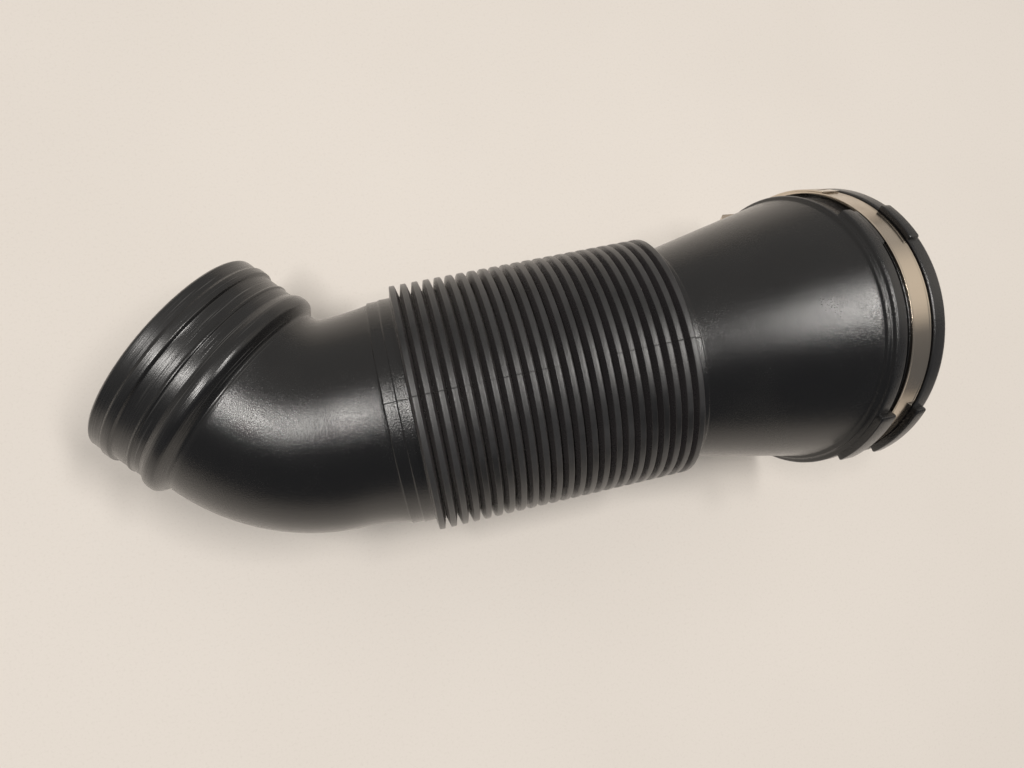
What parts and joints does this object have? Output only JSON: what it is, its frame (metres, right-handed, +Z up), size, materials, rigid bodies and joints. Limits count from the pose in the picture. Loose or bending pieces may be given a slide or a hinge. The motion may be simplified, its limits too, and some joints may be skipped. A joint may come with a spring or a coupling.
{
  "type": "air intake duct",
  "caption": "Moulded black air intake duct with an angled spigot, a finned flexible bellows and a flared cuff that carries a worm-drive clamp",
  "frame": {"origin": "middle of the footprint, on the surface the duct lies on", "axes": "+X from the spigot towards the cuff, +Y towards the side the spigot turns to, +Z up"},
  "size_m": [0.2752, 0.113, 0.1044],
  "materials": {
    "duct": "satin black moulded elastomer with a fine grain",
    "steel": "bright stainless strip with faint brush lines",
    "screw_steel": "bright zinc-plated steel"
  },
  "bodies": {
    "duct": {"duct_body": "duct", "clamp_band": "steel", "clamp_housing": "steel"},
    "screw": {"clamp_screw": "screw_steel"}
  },
  "joints": [
    {"name": "clamp_screw_turn", "type": "hinge", "parent": "duct", "child": "screw", "pos_m": [0.11215, 0.04232, 0.0245], "axis": [-0.1825, -0.5107, -0.8402], "continuous": true}
  ]
}
